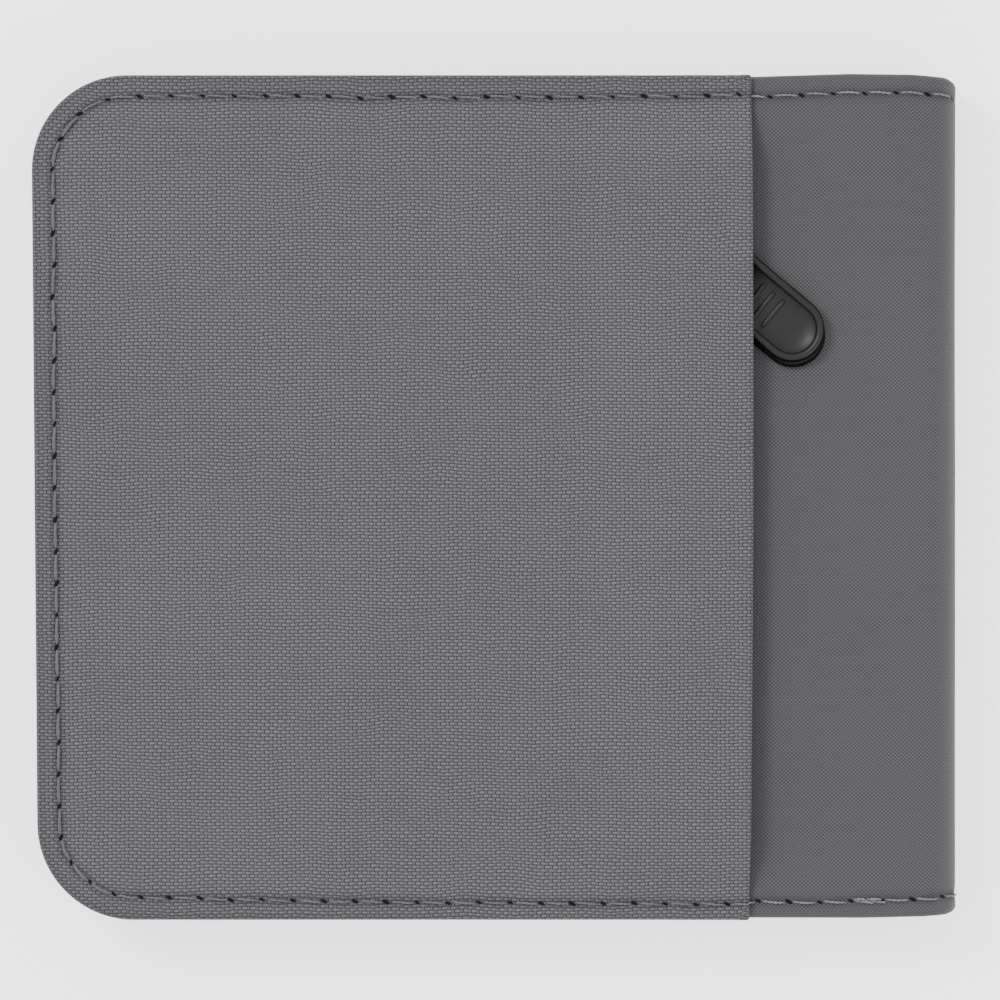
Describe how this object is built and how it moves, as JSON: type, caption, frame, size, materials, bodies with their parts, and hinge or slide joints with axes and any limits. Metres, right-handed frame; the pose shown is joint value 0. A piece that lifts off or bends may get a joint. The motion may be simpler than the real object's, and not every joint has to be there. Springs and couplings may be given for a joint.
{
  "type": "bifold wallet",
  "caption": "Fabric bifold wallet with card pockets and a clear window inside, and a zipped coin pocket under a woven flap outside.",
  "frame": {"origin": "middle of the closed wallet's underside box, where it lies on a table", "axes": "+X toward the fold, +Y toward the pocket mouths, +Z out of the zip side"},
  "size_m": [0.11, 0.101, 0.0133],
  "materials": {
    "cover_fabric": "fine plain weave, charcoal",
    "panel_fabric": "coarse plain weave, grey",
    "lining_fabric": "smooth lining cloth, near black",
    "pocket_fabric": "fine plain weave, dark",
    "board": "stiffener board",
    "clear_film": "clear flexible film",
    "thread": "grey sewing thread",
    "zip_tape": "woven zip tape, black",
    "zip_teeth": "nylon coil, black",
    "zip_metal": "black lacquered metal",
    "zip_stop": "dull metal",
    "grip_rubber": "satin moulded rubber, black"
  },
  "bodies": {
    "front_half": {"front_cover": "cover_fabric", "front_board": "board", "front_lining": "lining_fabric", "front_note_seam": "lining_fabric", "front_inner_panel": "pocket_fabric", "front_pocket_back": "pocket_fabric", "front_pocket_mid": "pocket_fabric", "window_frame": "pocket_fabric", "window_film": "clear_film", "front_stitching": "thread"},
    "spine": {"spine_cover": "cover_fabric", "spine_lining": "lining_fabric", "spine_inner_panel": "pocket_fabric", "spine_stitching": "thread"},
    "back_half": {"back_cover_strip": "cover_fabric", "back_fold_lining": "lining_fabric", "woven_panel": "panel_fabric", "panel_backing": "lining_fabric", "zip_tape_left": "zip_tape", "zip_tape_right": "zip_tape", "zip_teeth_left": "zip_teeth", "zip_teeth_right": "zip_teeth", "zip_top_stops": "zip_stop", "zip_bottom_stop": "zip_stop", "zip_seam_stitching": "thread", "coin_pocket_seam": "lining_fabric", "coin_pocket_back_wall": "lining_fabric", "back_note_seam": "lining_fabric", "back_inner_panel": "pocket_fabric", "back_pocket_back": "pocket_fabric", "back_pocket_mid": "pocket_fabric", "back_pocket_front": "pocket_fabric", "panel_stitching": "thread", "strip_stitching": "thread", "seam_backstitch": "thread"},
    "zip_slider": {"slider_body": "zip_metal", "slider_crown": "zip_metal"},
    "pull_tab": {"pull_link": "zip_metal", "pull_grip": "grip_rubber"}
  },
  "joints": [
    {"name": "lower_fold", "type": "hinge", "parent": "front_half", "child": "spine", "pos_m": [0.05425, 0, 0.00075], "axis": [0, 1, 0], "range_deg": [0, 90]},
    {"name": "upper_fold", "type": "hinge", "parent": "spine", "child": "back_half", "pos_m": [0.05425, 0, 0.00925], "axis": [0, 1, 0], "range_deg": [0, 90]},
    {"name": "zip_slide", "type": "slide", "parent": "back_half", "child": "zip_slider", "axis": [0, 1, 0], "range_m": [-0.0528, 0.0076]},
    {"name": "tab_swing", "type": "hinge", "parent": "zip_slider", "child": "pull_tab", "pos_m": [0.0245, 0.0294, 0.0112], "axis": [0, 0, 1], "range_deg": [-50, 40]}
  ],
  "couplings": [
    {"joint": "upper_fold", "follows": "lower_fold", "ratio": 1}
  ]
}
